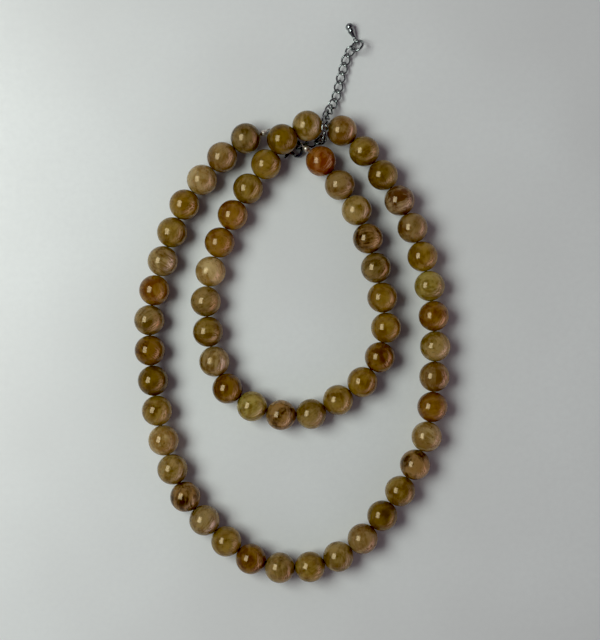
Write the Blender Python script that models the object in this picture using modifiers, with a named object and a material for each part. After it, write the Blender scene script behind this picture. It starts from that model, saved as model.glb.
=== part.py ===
# A necklace of round stone beads with a lobster clasp and an extension chain, laid on a flat
# surface as two turns, one inside the other. Metres, +Z up, +Y towards the chain's free end.
# The origin is on the surface, under the middle of the necklace's outline.

import math

import bmesh
import bpy
from mathutils import Matrix, Vector

MM = 0.001
UP = Vector((0.0, 0.0, 1.0))

# Beads. A turn takes one bead more only when all but this share of it has room.
BEAD_DIAMETER = 10.0 * MM
BEAD_SIDES = 12
BEAD_RINGS = 7
BEAD_CROWDING = 0.1
THREAD_DIAMETER = 0.9 * MM
STRAND_GAP = 0.35 * MM

# Bead tips: a closed metal shell with a loop, at each end of the string
TIP_DIAMETER = 2.2 * MM
TIP_LOOP_DIAMETER = 2.1 * MM
TIP_WIRE = 0.45 * MM
TIP_GAP = 0.3 * MM
OUTER_TIP_AZIMUTH = math.radians(18.0)
OUTER_TIP_DIP = math.radians(14.0)

# Jump rings, outside diameters and wire diameters
CLASP_RING_DIAMETER = 4.2 * MM
CLASP_RING_WIRE = 0.55 * MM
CLASP_RING_AZIMUTH = math.radians(-20.0)
END_RING_DIAMETER = 4.8 * MM
END_RING_WIRE = 0.65 * MM
END_RING_SHIFT = 0.35 * MM
DROP_RING_DIAMETER = 5.0 * MM
DROP_RING_WIRE = 0.8 * MM
DROP_RING_AZIMUTH = math.radians(15.6)
DROP_RING_TILT = math.radians(44.2)
DROP_RING_HIGH_SIDE = math.radians(136.1)
DROP_RING_SLACK = 0.49 * MM
FLOOR_GAP = 0.05 * MM
RING_SIDES = 14
WIRE_SIDES = 6

# Lobster clasp, drawn with its eye at the origin, its hook's front at +X and its spine at +Y
CLASP_AZIMUTH = math.radians(-38.5)
CLASP_EYE_DIAMETER = 3.1 * MM
CLASP_EYE_HOLE = 1.8 * MM
CLASP_EYE_THICKNESS = 1.0 * MM
CLASP_REACH = 10.25 * MM
CLASP_WIDTH = 6.2 * MM
CLASP_THICKNESS = 3.0 * MM
HOOK_THICKNESS = 1.0 * MM
HOOK_BAR = 1.1 * MM
LEVER_THICKNESS = 1.0 * MM
LEVER_SIDE_GAP = 0.15 * MM
LEVER_END_GAP = 0.15 * MM
PIVOT_PIN = 0.7 * MM
PIVOT_GAP = 0.12 * MM
THUMB_TAB = 2.2 * MM

# Extension chain: curb links, each an oval of wire with its ends twisted
LINK_LENGTH = 4.55 * MM
LINK_WIDTH = 3.3 * MM
LINK_WIRE = 0.55 * MM
LINK_TWIST = math.radians(45.0)
LINK_GAP = 0.355 * MM
LINK_SIDES = 12
LINK_COUNT = 15

# Teardrop at the chain's free end
DROP_DIAMETER = 2.5 * MM
DROP_LENGTH = 5.6 * MM
DROP_NECK = 0.9 * MM
DROP_LOOP_DIAMETER = 2.6 * MM
DROP_LOOP_WIRE = 0.45 * MM
DROP_AZIMUTH = math.radians(114.8)
DROP_LOOP_ROLL = math.radians(47.2)
DROP_LOOP_SLACK = 0.18 * MM

# The string's route: turn, x, y and lift off the surface of chosen points, in millimetres. The
# inner turn ends on the clasp, and the extension chain passes over the thread between the turns.
STRING_ROUTE = [
    ("inner", 9.4, 46.6, 0.0),
    ("inner", 21.0, 30.8, 0.0),
    ("inner", 27.3, 12.4, 0.0),
    ("inner", 30.8, -7.1, 0.0),
    ("inner", 29.2, -16.9, 0.0),
    ("inner", 24.0, -25.1, 0.0),
    ("inner", 15.9, -31.4, 0.0),
    ("inner", 7.2, -36.3, 0.0),
    ("inner", -3.0, -37.0, 0.0),
    ("inner", -12.9, -34.2, 0.0),
    ("inner", -21.1, -28.5, 0.0),
    ("inner", -25.6, -19.6, 0.0),
    ("inner", -28.5, 0.1, 0.0),
    ("inner", -24.1, 19.3, 0.0),
    ("inner", -15.4, 36.2, 0.0),
    ("inner", -9.2, 44.7, 0.0),
    ("inner", -3.5, 53.1, 3.4),
    ("inner", 5.3, 58.1, 2.0),
    ("outer", 16.3, 56.6, 0.0),
    ("outer", 23.2, 50.4, 0.0),
    ("outer", 35.0, 34.1, 0.0),
    ("outer", 42.5, 16.3, 0.0),
    ("outer", 46.4, -3.0, 0.0),
    ("outer", 46.8, -23.1, 0.0),
    ("outer", 44.5, -43.0, 0.0),
    ("outer", 36.1, -60.9, 0.0),
    ("outer", 24.0, -76.7, 0.0),
    ("outer", 16.2, -82.9, 0.0),
    ("outer", 6.7, -86.7, 0.0),
    ("outer", -3.7, -87.2, 0.0),
    ("outer", -13.5, -84.3, 0.0),
    ("outer", -21.9, -78.3, 0.0),
    ("outer", -35.2, -63.8, 0.0),
    ("outer", -42.5, -44.9, 0.0),
    ("outer", -45.9, -24.9, 0.0),
    ("outer", -47.0, -5.0, 0.0),
    ("outer", -42.6, 13.8, 0.0),
    ("outer", -35.4, 32.5, 0.0),
    ("outer", -23.3, 47.7, 0.0),
    ("outer", -15.3, 54.1, 0.0),
]

# The extension chain's route from the end ring: x, y and height of chosen points, in
# millimetres, and the link's roll there in degrees. The links turn on edge over the thread.
CHAIN_START_ROLL = -12.4
CHAIN_ROUTE = [
    (9.5, 53.8, 3.1, 22.9),
    (9.8, 53.9, 5.2, -70.6),
    (10.7, 56.7, 10.3, -57.2),
    (11.2, 61.3, 6.3, -46.1),
    (12.8, 64.6, 3.1, -24.8),
    (14.4, 67.8, 1.7, -10.3),
    (16.4, 75.8, 1.7, -17.8),
    (18.3, 81.9, 1.6, -19.9),
    (20.3, 84.9, 1.8, -1.1),
]


def new_collection(name):
    group = bpy.data.collections.new(name)
    bpy.context.scene.collection.children.link(group)
    return group


def new_material(name, colour, roughness, metallic):
    material = bpy.data.materials.new(name)
    material.use_nodes = True
    shader = material.node_tree.nodes["Principled BSDF"]
    shader.inputs["Base Color"].default_value = (*colour, 1.0)
    shader.inputs["Roughness"].default_value = roughness
    shader.inputs["Metallic"].default_value = metallic
    return material


def add_object(name, data, material, parent):
    obj = bpy.data.objects.new(name, data)
    PARTS.objects.link(obj)
    obj.parent = parent
    if data.materials:
        data.materials[0] = material
    else:
        data.materials.append(material)
    return obj


def add_helper(name, data, parent):
    """A cutter or a shape to be joined, hidden from the finished model."""
    obj = bpy.data.objects.new(name, data)
    HELPERS.objects.link(obj)
    obj.parent = parent
    obj.hide_render = True
    obj.display_type = "WIRE"
    return obj


def combine(target, helper, operation):
    change = target.modifiers.new(helper.name, "BOOLEAN")
    change.operation = operation
    change.object = helper
    change.solver = "EXACT"


def placed(location, axis, across):
    """A matrix at location with its Z along axis and its X along across, made square to it."""
    z = axis.normalized()
    x = (across - across.dot(z) * z).normalized()
    y = z.cross(x)
    return Matrix.Translation(location) @ Matrix((x, y, z)).transposed().to_4x4()


def heading(azimuth, dip=0.0):
    flat = math.cos(dip)
    return Vector((flat * math.cos(azimuth), flat * math.sin(azimuth), -math.sin(dip)))


def smooth_curve(points, steps=24):
    """A Catmull-Rom curve through the points, as a dense list of places. A fourth number, such
    as a roll, follows the curve with its place."""
    ends = [2.0 * points[0] - points[1]] + points + [2.0 * points[-1] - points[-2]]
    places = []
    for a, b, c, d in zip(ends, ends[1:], ends[2:], ends[3:]):
        for step in range(steps):
            t = step / steps
            places.append(0.5 * (2.0 * b + (c - a) * t + (2.0 * a - 5.0 * b + 4.0 * c - d) * t * t
                                 + (3.0 * b - a - 3.0 * c + d) * t * t * t))
    places.append(points[-1])
    return places


def curve_length(places):
    return sum((b.xyz - a.xyz).length for a, b in zip(places, places[1:]))


def place_along(places, distance):
    """The place at a distance along the curve, and the curve's direction there."""
    for a, b in zip(places, places[1:]):
        span = (b.xyz - a.xyz).length
        if distance <= span:
            break
        distance -= span
    return a.lerp(b, distance / span), (b.xyz - a.xyz).normalized()


def bead_centres(turn):
    rest = UP * BEAD_DIAMETER / 2.0
    route = [Vector(row[1:]) * MM + rest for row in STRING_ROUTE if row[0] == turn]
    places = smooth_curve(route)
    steps = int(curve_length(places) / BEAD_DIAMETER + BEAD_CROWDING)
    pitch = curve_length(places) / steps
    return [place_along(places, step * pitch)[0] for step in range(steps + 1)]


def settle(centres, before, after):
    """Lifts the beads so that none dips under the surface. A bead whose axis is tilted rests on
    the rim of its flat band."""
    radius = BEAD_DIAMETER / 2.0
    half_band = radius * math.sin(math.pi / (2.0 * BEAD_RINGS))
    for _ in range(3):
        path = [before] + centres + [after]
        for previous, centre, following in zip(path, path[1:], path[2:]):
            rise = abs((following - previous).normalized().z)
            centre.z = max(centre.z, radius * math.sqrt(1.0 - rise ** 2) + half_band * rise)


def open_ends(bm, verts):
    return [edge for edge in {edge for vert in verts for edge in vert.link_edges}
            if edge.is_boundary]


def add_bead(bm, centre, axis):
    """One round bead in the strand's mesh, flat side down and open at its two drill holes."""
    radius = BEAD_DIAMETER / 2.0
    half_side = math.pi / BEAD_SIDES
    corner_radius = radius / (math.cos(half_side) * math.cos(math.pi / (2.0 * BEAD_RINGS)))
    side = UP.cross(axis).normalized()
    down = -axis.cross(side)
    corner = math.cos(half_side) * down + math.sin(half_side) * side
    squash = Matrix.Diagonal((corner_radius / radius, corner_radius / radius, 1.0, 1.0))
    frame = placed(centre, axis, corner)
    made = bmesh.ops.create_uvsphere(bm, u_segments=BEAD_SIDES, v_segments=BEAD_RINGS,
                                     radius=radius, matrix=frame @ squash)
    cap_height = radius * (1.0 - math.cos(math.pi / BEAD_RINGS))
    cap_radius = corner_radius * math.sin(math.pi / BEAD_RINGS)
    cut = radius - cap_height * (THREAD_DIAMETER / 2.0) / cap_radius
    verts = set(made["verts"])
    for way in (-1.0, 1.0):
        faces = {face for vert in verts for face in vert.link_faces}
        edges = {edge for vert in verts for edge in vert.link_edges}
        bmesh.ops.bisect_plane(bm, geom=list(verts) + list(edges) + list(faces), dist=1e-7,
                               plane_co=centre + axis * cut * way, plane_no=axis * way,
                               clear_outer=True)
        verts = {vert for vert in verts if vert.is_valid}
        for vert in list(verts):
            verts.update(edge.other_vert(vert) for edge in vert.link_edges)
    rim = open_ends(bm, verts)
    middle = {edge: (edge.verts[0].co + edge.verts[1].co) / 2.0 - centre for edge in rim}
    back = [edge for edge in rim if middle[edge].dot(axis) < 0.0]
    front = [edge for edge in rim if middle[edge].dot(axis) > 0.0]
    return back, front


def build_strand(name, centres, before, after, thread_to, parent):
    """A strand of beads fused through their thread. before and after are the places that its
    end beads point to, and thread_to is where bare thread runs on from its last bead."""
    bm = bmesh.new()
    path = [before] + centres + [after]
    joint = None
    for previous, centre, following in zip(path, path[1:], path[2:]):
        back, front = add_bead(bm, centre, (following - previous).normalized())
        if joint is None:
            bmesh.ops.edgeloop_fill(bm, edges=back)
        else:
            bmesh.ops.bridge_loops(bm, edges=joint + back)
        joint = front
    if thread_to is not None:
        rim = {vert for edge in joint for vert in edge.verts}
        start = sum((vert.co for vert in rim), Vector()) / len(rim)
        grown = bmesh.ops.extrude_edge_only(bm, edges=joint)["geom"]
        bmesh.ops.translate(bm, verts=[item for item in grown if isinstance(item, bmesh.types.BMVert)],
                            vec=thread_to - start)
        joint = [item for item in grown if isinstance(item, bmesh.types.BMEdge) and item.is_boundary]
    bmesh.ops.edgeloop_fill(bm, edges=joint)
    bmesh.ops.recalc_face_normals(bm, faces=bm.faces)
    mesh = bpy.data.meshes.new(name)
    bm.to_mesh(mesh)
    bm.free()
    mesh.shade_smooth()
    return add_object(name, mesh, STONE, parent)


def ring_mesh(name, outside, wire, sides=RING_SIDES, wire_sides=WIRE_SIDES):
    """A round wire ring about Z, from its outside diameter and its wire's diameter."""
    bpy.ops.mesh.primitive_torus_add(major_segments=sides, minor_segments=wire_sides,
                                     major_radius=(outside - wire) / 2.0,
                                     minor_radius=wire / 2.0)
    maker = bpy.context.object
    mesh = maker.data
    mesh.name = name
    mesh.shade_smooth()
    bpy.data.objects.remove(maker)
    return mesh


def add_ring(name, outside, wire, matrix, parent):
    ring = add_object(name, ring_mesh(name, outside, wire), STEEL, parent)
    ring.matrix_local = matrix
    return ring


def add_tip(name, ball, loop, loop_axis, parent):
    """A bead tip: a round shell at ball with a wire loop about loop, soldered as one solid."""
    bpy.ops.mesh.primitive_uv_sphere_add(segments=12, ring_count=6, radius=TIP_DIAMETER / 2.0)
    maker = bpy.context.object
    mesh = maker.data
    bpy.data.objects.remove(maker)
    mesh.name = name
    mesh.shade_smooth()
    tip = add_object(name, mesh, STEEL, parent)
    tip.matrix_local = placed(ball, loop - ball, loop_axis)
    eye = add_helper(name + "_loop", ring_mesh(name + "_loop", TIP_LOOP_DIAMETER, TIP_WIRE, 10, 5),
                     parent)
    eye.matrix_local = placed(loop, loop_axis, loop - ball)
    combine(tip, eye, "UNION")
    return tip


def flat_outline(name, outlines, thickness):
    """A mesh plate from closed outlines in XY, the later ones being holes in the first."""
    curve = bpy.data.curves.new(name, "CURVE")
    curve.dimensions = "2D"
    curve.fill_mode = "BOTH"
    curve.extrude = thickness / 2.0
    for outline in outlines:
        spline = curve.splines.new("POLY")
        spline.points.add(len(outline) - 1)
        for point, (x, y) in zip(spline.points, outline):
            point.co = (x, y, 0.0, 1.0)
        spline.use_cyclic_u = True
    maker = bpy.data.objects.new(name, curve)
    bpy.context.scene.collection.objects.link(maker)
    bpy.context.view_layer.update()
    mesh = bpy.data.meshes.new_from_object(maker.evaluated_get(bpy.context.evaluated_depsgraph_get()))
    mesh.name = name
    bpy.data.objects.remove(maker)
    bpy.data.curves.remove(curve)
    bm = bmesh.new()
    bm.from_mesh(mesh)
    bmesh.ops.remove_doubles(bm, verts=bm.verts, dist=1e-6)
    bmesh.ops.recalc_face_normals(bm, faces=bm.faces)
    bm.to_mesh(mesh)
    bm.free()
    return mesh


def arc(x, y, radius_x, radius_y, start, end, count):
    """Points of an elliptical arc from start to end, in degrees, both ends included."""
    angles = [math.radians(start + (end - start) * step / (count - 1)) for step in range(count)]
    return [(x + radius_x * math.cos(angle), y + radius_y * math.sin(angle)) for angle in angles]


def full_ellipse(x, y, radius_x, radius_y, count):
    return arc(x, y, radius_x, radius_y, 0.0, 360.0 * (count - 1) / count, count)


class ClaspShape:
    """The lobster clasp's named places, in its own frame and worked out from its sizes."""

    def __init__(self):
        self.body_rear = CLASP_EYE_DIAMETER * 0.24
        self.half_length = (CLASP_REACH - self.body_rear) / 2.0
        self.centre_x = CLASP_REACH - self.half_length
        self.half_width = CLASP_WIDTH / 2.0
        self.opening_front = CLASP_REACH - HOOK_BAR
        self.opening_rear = self.body_rear + self.half_length * 0.7
        self.opening_half = (self.opening_front - self.opening_rear) / 2.0
        self.opening_x = (self.opening_front + self.opening_rear) / 2.0
        self.opening_half_width = self.half_width - HOOK_BAR * 1.05
        self.pivot = (self.opening_rear - HOOK_BAR * 0.4, -self.half_width * 0.5)
        self.pivot_boss = PIVOT_PIN * 1.2
        self.gate_rear = self.opening_rear + HOOK_BAR * 0.5
        self.nose_edge = self.opening_front - HOOK_BAR * 0.8
        self.notch_front = self.opening_front - HOOK_BAR * 0.25
        self.notch_floor = -self.half_width * 0.52

    def spine_at(self, x):
        """The middle of the hook's bar on the spine side at x, and its direction there."""
        outer = self.half_width * math.sqrt(1.0 - ((x - self.centre_x) / self.half_length) ** 2)
        inner = self.opening_half_width * math.sqrt(
            1.0 - ((x - self.opening_x) / self.opening_half) ** 2)
        slope = -((self.half_width / self.half_length) ** 2) * (x - self.centre_x) / outer
        return Vector((x, (outer + inner) / 2.0, 0.0)), Vector((1.0, slope, 0.0)).normalized()

    def body_outlines(self):
        eye = CLASP_EYE_DIAMETER / 2.0
        outer = arc(0.0, 0.0, eye, eye, 50.0, 310.0, 9)
        outer += arc(self.centre_x, 0.0, self.half_length, self.half_width, -155.0, 155.0, 23)
        opening = full_ellipse(self.opening_x, 0.0, self.opening_half, self.opening_half_width, 16)
        eye_hole = full_ellipse(0.0, 0.0, CLASP_EYE_HOLE / 2.0, CLASP_EYE_HOLE / 2.0, 10)
        return [outer, opening, eye_hole]

    def side_outline(self):
        """The clasp seen from the side: x and height, thick in the middle."""
        rear = -CLASP_EYE_DIAMETER
        front = CLASP_REACH * 1.1
        eye = CLASP_EYE_THICKNESS / 2.0
        body = CLASP_THICKNESS / 2.0
        hook = HOOK_THICKNESS / 2.0
        upper = [(rear, eye), (CLASP_EYE_DIAMETER / 2.0, eye), (self.opening_rear * 0.75, body),
                 (self.gate_rear + HOOK_BAR * 0.6, body),
                 (self.opening_x + HOOK_BAR * 0.5, hook), (front, hook)]
        return upper + [(x, -z) for x, z in reversed(upper)]

    def gate_outline(self):
        """The gap in the rim that the lever closes, with the seat for the lever's end."""
        outside = -self.half_width * 1.3
        inside = -self.half_width * 0.29
        return [(self.gate_rear, outside), (self.nose_edge, outside),
                (self.nose_edge, self.notch_floor), (self.notch_front, self.notch_floor),
                (self.notch_front, inside), (self.gate_rear, inside)]

    def lever_outlines(self):
        """The lever about its pivot: a boss, a bar to the hook's tip and a thumb tab."""
        x, y = self.pivot
        tip_x = self.notch_front - LEVER_END_GAP
        tip_y = self.notch_floor + LEVER_END_GAP
        step_x = self.nose_edge - LEVER_END_GAP
        bar_low = -self.half_width * 0.72
        bar_high = -self.half_width * 0.37
        tab_x = self.gate_rear + 0.45 * (step_x - self.gate_rear)
        tab_low = bar_low - THUMB_TAB
        boss = arc(x, y, self.pivot_boss, self.pivot_boss, 70.0, 290.0, 9)
        bar = [(tab_x - HOOK_BAR * 0.7, bar_low), (tab_x - HOOK_BAR * 0.1, tab_low),
               (tab_x + HOOK_BAR * 0.45, tab_low * 0.96), (tab_x + HOOK_BAR * 0.7, bar_low),
               (step_x, bar_low * 0.92), (step_x, tip_y), (tip_x, tip_y),
               (tip_x, tip_y + HOOK_BAR * 0.4), (self.opening_x, bar_high)]
        hole = PIVOT_PIN / 2.0 + PIVOT_GAP
        outer = [(px - x, py - y) for px, py in boss + bar]
        return [outer, full_ellipse(0.0, 0.0, hole, hole, 10)]


def build_clasp(shape, eye, parent):
    """The clasp's body and lever, lying flat with the eye's centre at eye."""
    frame = bpy.data.objects.new("clasp_frame", None)
    PARTS.objects.link(frame)
    frame.parent = parent
    frame.location = eye
    frame.rotation_euler.z = CLASP_AZIMUTH

    body = add_object("clasp_body", flat_outline("clasp_body", shape.body_outlines(),
                                                 CLASP_THICKNESS * 1.5), STEEL, frame)
    side = add_helper("clasp_side", flat_outline("clasp_side", [shape.side_outline()],
                                                 CLASP_WIDTH * 2.0), frame)
    side.rotation_euler.x = math.radians(90.0)
    gate = add_helper("clasp_gate", flat_outline("clasp_gate", [shape.gate_outline()],
                                                 CLASP_THICKNESS * 2.0), frame)
    slot_back = shape.pivot[0] - shape.pivot_boss - LEVER_SIDE_GAP
    slot_front = shape.gate_rear + HOOK_BAR * 0.6
    slot_low = -shape.half_width * 1.2
    slot_high = shape.pivot[1] + shape.pivot_boss + LEVER_SIDE_GAP
    slot_outline = [(slot_back, slot_low), (slot_front, slot_low),
                    (slot_front, slot_high), (slot_back, slot_high)]
    slot = add_helper("clasp_slot", flat_outline("clasp_slot", [slot_outline],
                                                 LEVER_THICKNESS + 2.0 * LEVER_SIDE_GAP), frame)
    pin_outline = full_ellipse(*shape.pivot, PIVOT_PIN / 2.0, PIVOT_PIN / 2.0, 10)
    pin = add_helper("clasp_pin", flat_outline("clasp_pin", [pin_outline],
                                               (LEVER_THICKNESS + CLASP_THICKNESS) / 2.0), frame)
    combine(body, side, "INTERSECT")
    combine(body, gate, "DIFFERENCE")
    combine(body, slot, "DIFFERENCE")
    combine(body, pin, "UNION")

    lever = add_object("clasp_lever", flat_outline("clasp_lever", shape.lever_outlines(),
                                                   LEVER_THICKNESS), STEEL, frame)
    lever.location = (*shape.pivot, 0.0)
    return body, lever


def link_curve():
    """One curb link: an oval of wire along X whose two ends are twisted opposite ways."""
    curve = bpy.data.curves.new("chain_link", "CURVE")
    curve.dimensions = "3D"
    curve.bevel_depth = LINK_WIRE / 2.0
    curve.bevel_resolution = 1
    spline = curve.splines.new("POLY")
    spline.points.add(LINK_SIDES - 1)
    for number, point in enumerate(spline.points):
        angle = 2.0 * math.pi * number / LINK_SIDES
        along = math.cos(angle) * (LINK_LENGTH - LINK_WIRE) / 2.0
        across = math.sin(angle) * (LINK_WIDTH - LINK_WIRE) / 2.0
        turn = LINK_TWIST * math.cos(angle)
        point.co = (along, across * math.cos(turn), across * math.sin(turn), 1.0)
        point.radius = 1.0
    spline.use_cyclic_u = True
    return curve


def build_chain(start, parent):
    """The links from the end ring's wire at start. Gives the last link's place and heading."""
    route = [Vector((*start, math.radians(CHAIN_START_ROLL)))]
    route += [Vector((x * MM, y * MM, z * MM, math.radians(roll))) for x, y, z, roll in CHAIN_ROUTE]
    places = smooth_curve(route)
    pitch = LINK_LENGTH - 2.0 * LINK_WIRE - LINK_GAP
    reach = LINK_LENGTH / 2.0 - LINK_WIRE - END_RING_WIRE / 2.0 - LINK_GAP
    curve = link_curve()
    for number in range(LINK_COUNT):
        place, direction = place_along(places, reach + number * pitch)
        link = add_object(f"chain_link_{number + 1:02d}", curve, STEEL, parent)
        across = UP.cross(direction).normalized()
        upward = direction.cross(across)
        normal = math.cos(place.w) * upward + math.sin(place.w) * across
        link.matrix_local = placed(place.xyz, normal, direction)
    return place.xyz, direction


def drop_mesh():
    """The teardrop's profile, turned about Z with its neck at the top. Its ball is below."""
    ball = DROP_DIAMETER / 2.0
    centre = -(DROP_LENGTH - ball)
    profile = [(DROP_NECK * 0.35, 0.0), (DROP_NECK / 2.0, -DROP_NECK * 0.5),
               (DROP_NECK * 0.75, centre * 0.42)]
    profile += [(ball * math.cos(math.radians(angle)), centre + ball * math.sin(math.radians(angle)))
                for angle in (35.0, 5.0, -25.0, -55.0)]
    bm = bmesh.new()
    verts = [bm.verts.new((0.0, 0.0, 0.0))]
    verts += [bm.verts.new((x, 0.0, z)) for x, z in profile]
    verts.append(bm.verts.new((0.0, 0.0, centre - ball)))
    for a, b in zip(verts, verts[1:]):
        bm.edges.new((a, b))
    mesh = bpy.data.meshes.new("drop")
    bm.to_mesh(mesh)
    bm.free()
    return mesh


def build_drop(loop, parent):
    """The teardrop lying on the surface, its loop centred at loop."""
    ball_height = DROP_DIAMETER / 2.0 + FLOOR_GAP
    stem = DROP_LOOP_DIAMETER / 2.0 - DROP_LOOP_WIRE
    away = heading(DROP_AZIMUTH)
    ball = loop + away * (stem + DROP_LENGTH - DROP_DIAMETER / 2.0)
    ball.z = ball_height
    axis = (loop - ball).normalized()
    drop = add_object("drop", drop_mesh(), STEEL, parent)
    drop.matrix_local = placed(loop - axis * stem, axis, UP)
    turn = drop.modifiers.new("turn", "SCREW")
    turn.steps = 12
    turn.render_steps = 12
    turn.use_merge_vertices = True
    turn.merge_threshold = 1e-6
    turn.use_smooth_shade = True
    eye = add_helper("drop_loop", ring_mesh("drop_loop", DROP_LOOP_DIAMETER, DROP_LOOP_WIRE, 12, 6),
                     parent)
    across = UP.cross(axis).normalized()
    level = axis.cross(across)
    eye.matrix_local = placed(loop, math.cos(DROP_LOOP_ROLL) * level
                              + math.sin(DROP_LOOP_ROLL) * across, axis)
    combine(drop, eye, "UNION")
    return drop


def build_necklace():
    root = bpy.data.objects.new("necklace", None)
    PARTS.objects.link(root)
    inner = bead_centres("inner")
    outer = bead_centres("outer")
    radius = BEAD_DIAMETER / 2.0
    seat = radius + TIP_GAP + TIP_DIAMETER / 2.0
    loop_reach = (TIP_DIAMETER + TIP_LOOP_DIAMETER) / 2.0 - TIP_WIRE * 0.9

    # The outer turn's end, its bead tip, the clasp's ring and the clasp
    tip_way = heading(OUTER_TIP_AZIMUTH, OUTER_TIP_DIP)
    outer_ball = outer[-1] + tip_way * seat
    outer_loop = outer_ball + tip_way * loop_reach
    ring_radius = (CLASP_RING_DIAMETER - CLASP_RING_WIRE) / 2.0
    ring_height = CLASP_RING_DIAMETER / 2.0 + FLOOR_GAP
    ring_way = heading(CLASP_RING_AZIMUTH)
    lean = math.asin(max(min((outer_loop.z - ring_height) / ring_radius, 1.0), -1.0))
    ring_centre = outer_loop + ring_way * ring_radius * math.cos(lean)
    ring_centre.z = ring_height
    ring_wire_way = math.cos(lean) * UP + math.sin(lean) * ring_way
    eye_faces = [(CLASP_THICKNESS + way * CLASP_EYE_THICKNESS) / 2.0 - ring_height
                 for way in (-1.0, 1.0)]
    eye_reach = sum(math.sqrt(ring_radius ** 2 - height ** 2) for height in eye_faces) / 2.0
    eye = ring_centre + ring_way * eye_reach
    eye.z = CLASP_THICKNESS / 2.0
    add_tip("outer_bead_tip", outer_ball, outer_loop, ring_wire_way, root)
    add_ring("clasp_ring", CLASP_RING_DIAMETER, CLASP_RING_WIRE,
             placed(ring_centre, ring_way.cross(UP), UP), root)
    shape = ClaspShape()
    build_clasp(shape, eye, root)

    # The end ring stands round the clasp's hook
    to_world = Matrix.Translation(eye) @ Matrix.Rotation(CLASP_AZIMUTH, 4, "Z")
    bar, bar_way = shape.spine_at(shape.opening_front - HOOK_BAR * 0.75)
    bar = to_world @ bar
    bar_way = to_world.to_3x3() @ bar_way
    end_way = UP.cross(bar_way).normalized()
    end_radius = (END_RING_DIAMETER - END_RING_WIRE) / 2.0
    end_centre = bar + end_way * END_RING_SHIFT
    end_centre.z = END_RING_DIAMETER / 2.0 + FLOOR_GAP
    add_ring("end_ring", END_RING_DIAMETER, END_RING_WIRE, placed(end_centre, bar_way, UP), root)

    # The inner turn's end hangs on the end ring's top by its bead tip
    inner_hold = end_centre + UP * end_radius
    inner_way = (inner_hold - inner[0]).normalized()
    inner_ball = inner_hold - inner_way * loop_reach
    add_tip("inner_bead_tip", inner_ball, inner_hold, end_way, root)

    # The two turns of beads, with the thread between them
    settle(inner, inner_ball, outer[0])
    settle(outer, inner[-1], outer_ball)
    inner_axis = (outer[0] - inner[-2]).normalized()
    outer_axis = (outer[1] - inner[-1]).normalized()
    thread_end = outer[0] - outer_axis * (radius + STRAND_GAP)
    build_strand("inner_bead_strand", inner, inner_ball, inner[-1] + inner_axis * BEAD_DIAMETER,
                 thread_end, root)
    build_strand("outer_bead_strand", outer, inner[-1], outer_ball, None, root)

    # The extension chain, its ring and its drop
    last, way = build_chain(end_centre + end_way * end_radius, root)
    drop_radius = (DROP_RING_DIAMETER - DROP_RING_WIRE) / 2.0
    hold = last + way * (LINK_LENGTH / 2.0 - LINK_WIRE - DROP_RING_WIRE / 2.0 - DROP_RING_SLACK)
    tilt_axis = heading(DROP_RING_HIGH_SIDE - math.radians(90.0))
    normal = Matrix.Rotation(-DROP_RING_TILT, 3, tilt_axis) @ UP
    inward = heading(DROP_RING_AZIMUTH)
    inward = (inward - inward.dot(normal) * normal).normalized()
    drop_centre = hold + inward * drop_radius
    add_ring("drop_ring", DROP_RING_DIAMETER, DROP_RING_WIRE,
             placed(drop_centre, normal, inward), root)
    drop_side = heading(DROP_AZIMUTH)
    drop_side = (drop_side - drop_side.dot(normal) * normal).normalized()
    loop = drop_centre + drop_side * drop_radius + heading(DROP_AZIMUTH) * DROP_LOOP_SLACK
    build_drop(loop, root)
    return root


def outline_centre():
    """The middle of the outline that all the parts cover, seen from above."""
    bpy.context.view_layer.update()
    depsgraph = bpy.context.evaluated_depsgraph_get()
    xs = []
    ys = []
    for obj in PARTS.objects:
        if obj.type == "EMPTY":
            continue
        solid = obj.evaluated_get(depsgraph)
        mesh = solid.to_mesh()
        for vert in mesh.vertices:
            place = obj.matrix_world @ vert.co
            xs.append(place.x)
            ys.append(place.y)
        solid.to_mesh_clear()
    return Vector(((min(xs) + max(xs)) / 2.0, (min(ys) + max(ys)) / 2.0, 0.0))


for old in list(bpy.data.objects):
    bpy.data.objects.remove(old)
PARTS = new_collection("beaded_necklace")
HELPERS = new_collection("necklace_cutters")
STONE = new_material("polished_moonstone", (0.27, 0.15, 0.06), 0.15, 0.0)
STEEL = new_material("polished_steel", (0.62, 0.62, 0.63), 0.12, 1.0)
necklace = build_necklace()
necklace.location = -outline_centre()
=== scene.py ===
# A long necklace of round polished feldspar stones, laid on a pale table as two turns, with a
# lobster clasp, an extension chain and a small drop. The pieces here are fitted over the packed
# solids, and are worked out in the string's own route frame, in metres.

import math
import random

import bmesh
import bpy
import numpy as np
from mathutils import Matrix, Vector


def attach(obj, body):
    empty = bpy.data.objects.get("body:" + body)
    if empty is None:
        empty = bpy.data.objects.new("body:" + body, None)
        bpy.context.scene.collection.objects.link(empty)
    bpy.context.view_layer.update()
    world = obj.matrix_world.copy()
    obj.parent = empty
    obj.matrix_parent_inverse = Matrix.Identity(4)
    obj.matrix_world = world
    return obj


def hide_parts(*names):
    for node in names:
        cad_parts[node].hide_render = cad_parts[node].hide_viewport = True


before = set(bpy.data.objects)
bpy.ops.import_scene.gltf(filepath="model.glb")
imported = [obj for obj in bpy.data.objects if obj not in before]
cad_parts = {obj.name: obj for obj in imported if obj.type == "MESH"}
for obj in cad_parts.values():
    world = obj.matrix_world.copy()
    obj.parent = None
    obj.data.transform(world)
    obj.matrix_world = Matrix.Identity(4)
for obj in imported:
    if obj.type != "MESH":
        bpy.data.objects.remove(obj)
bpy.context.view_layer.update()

MM = 0.001
UP = Vector((0.0, 0.0, 1.0))
ROUTE_TO_PART = Vector((0.05549, -0.32042, 0.0)) * MM

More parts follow.
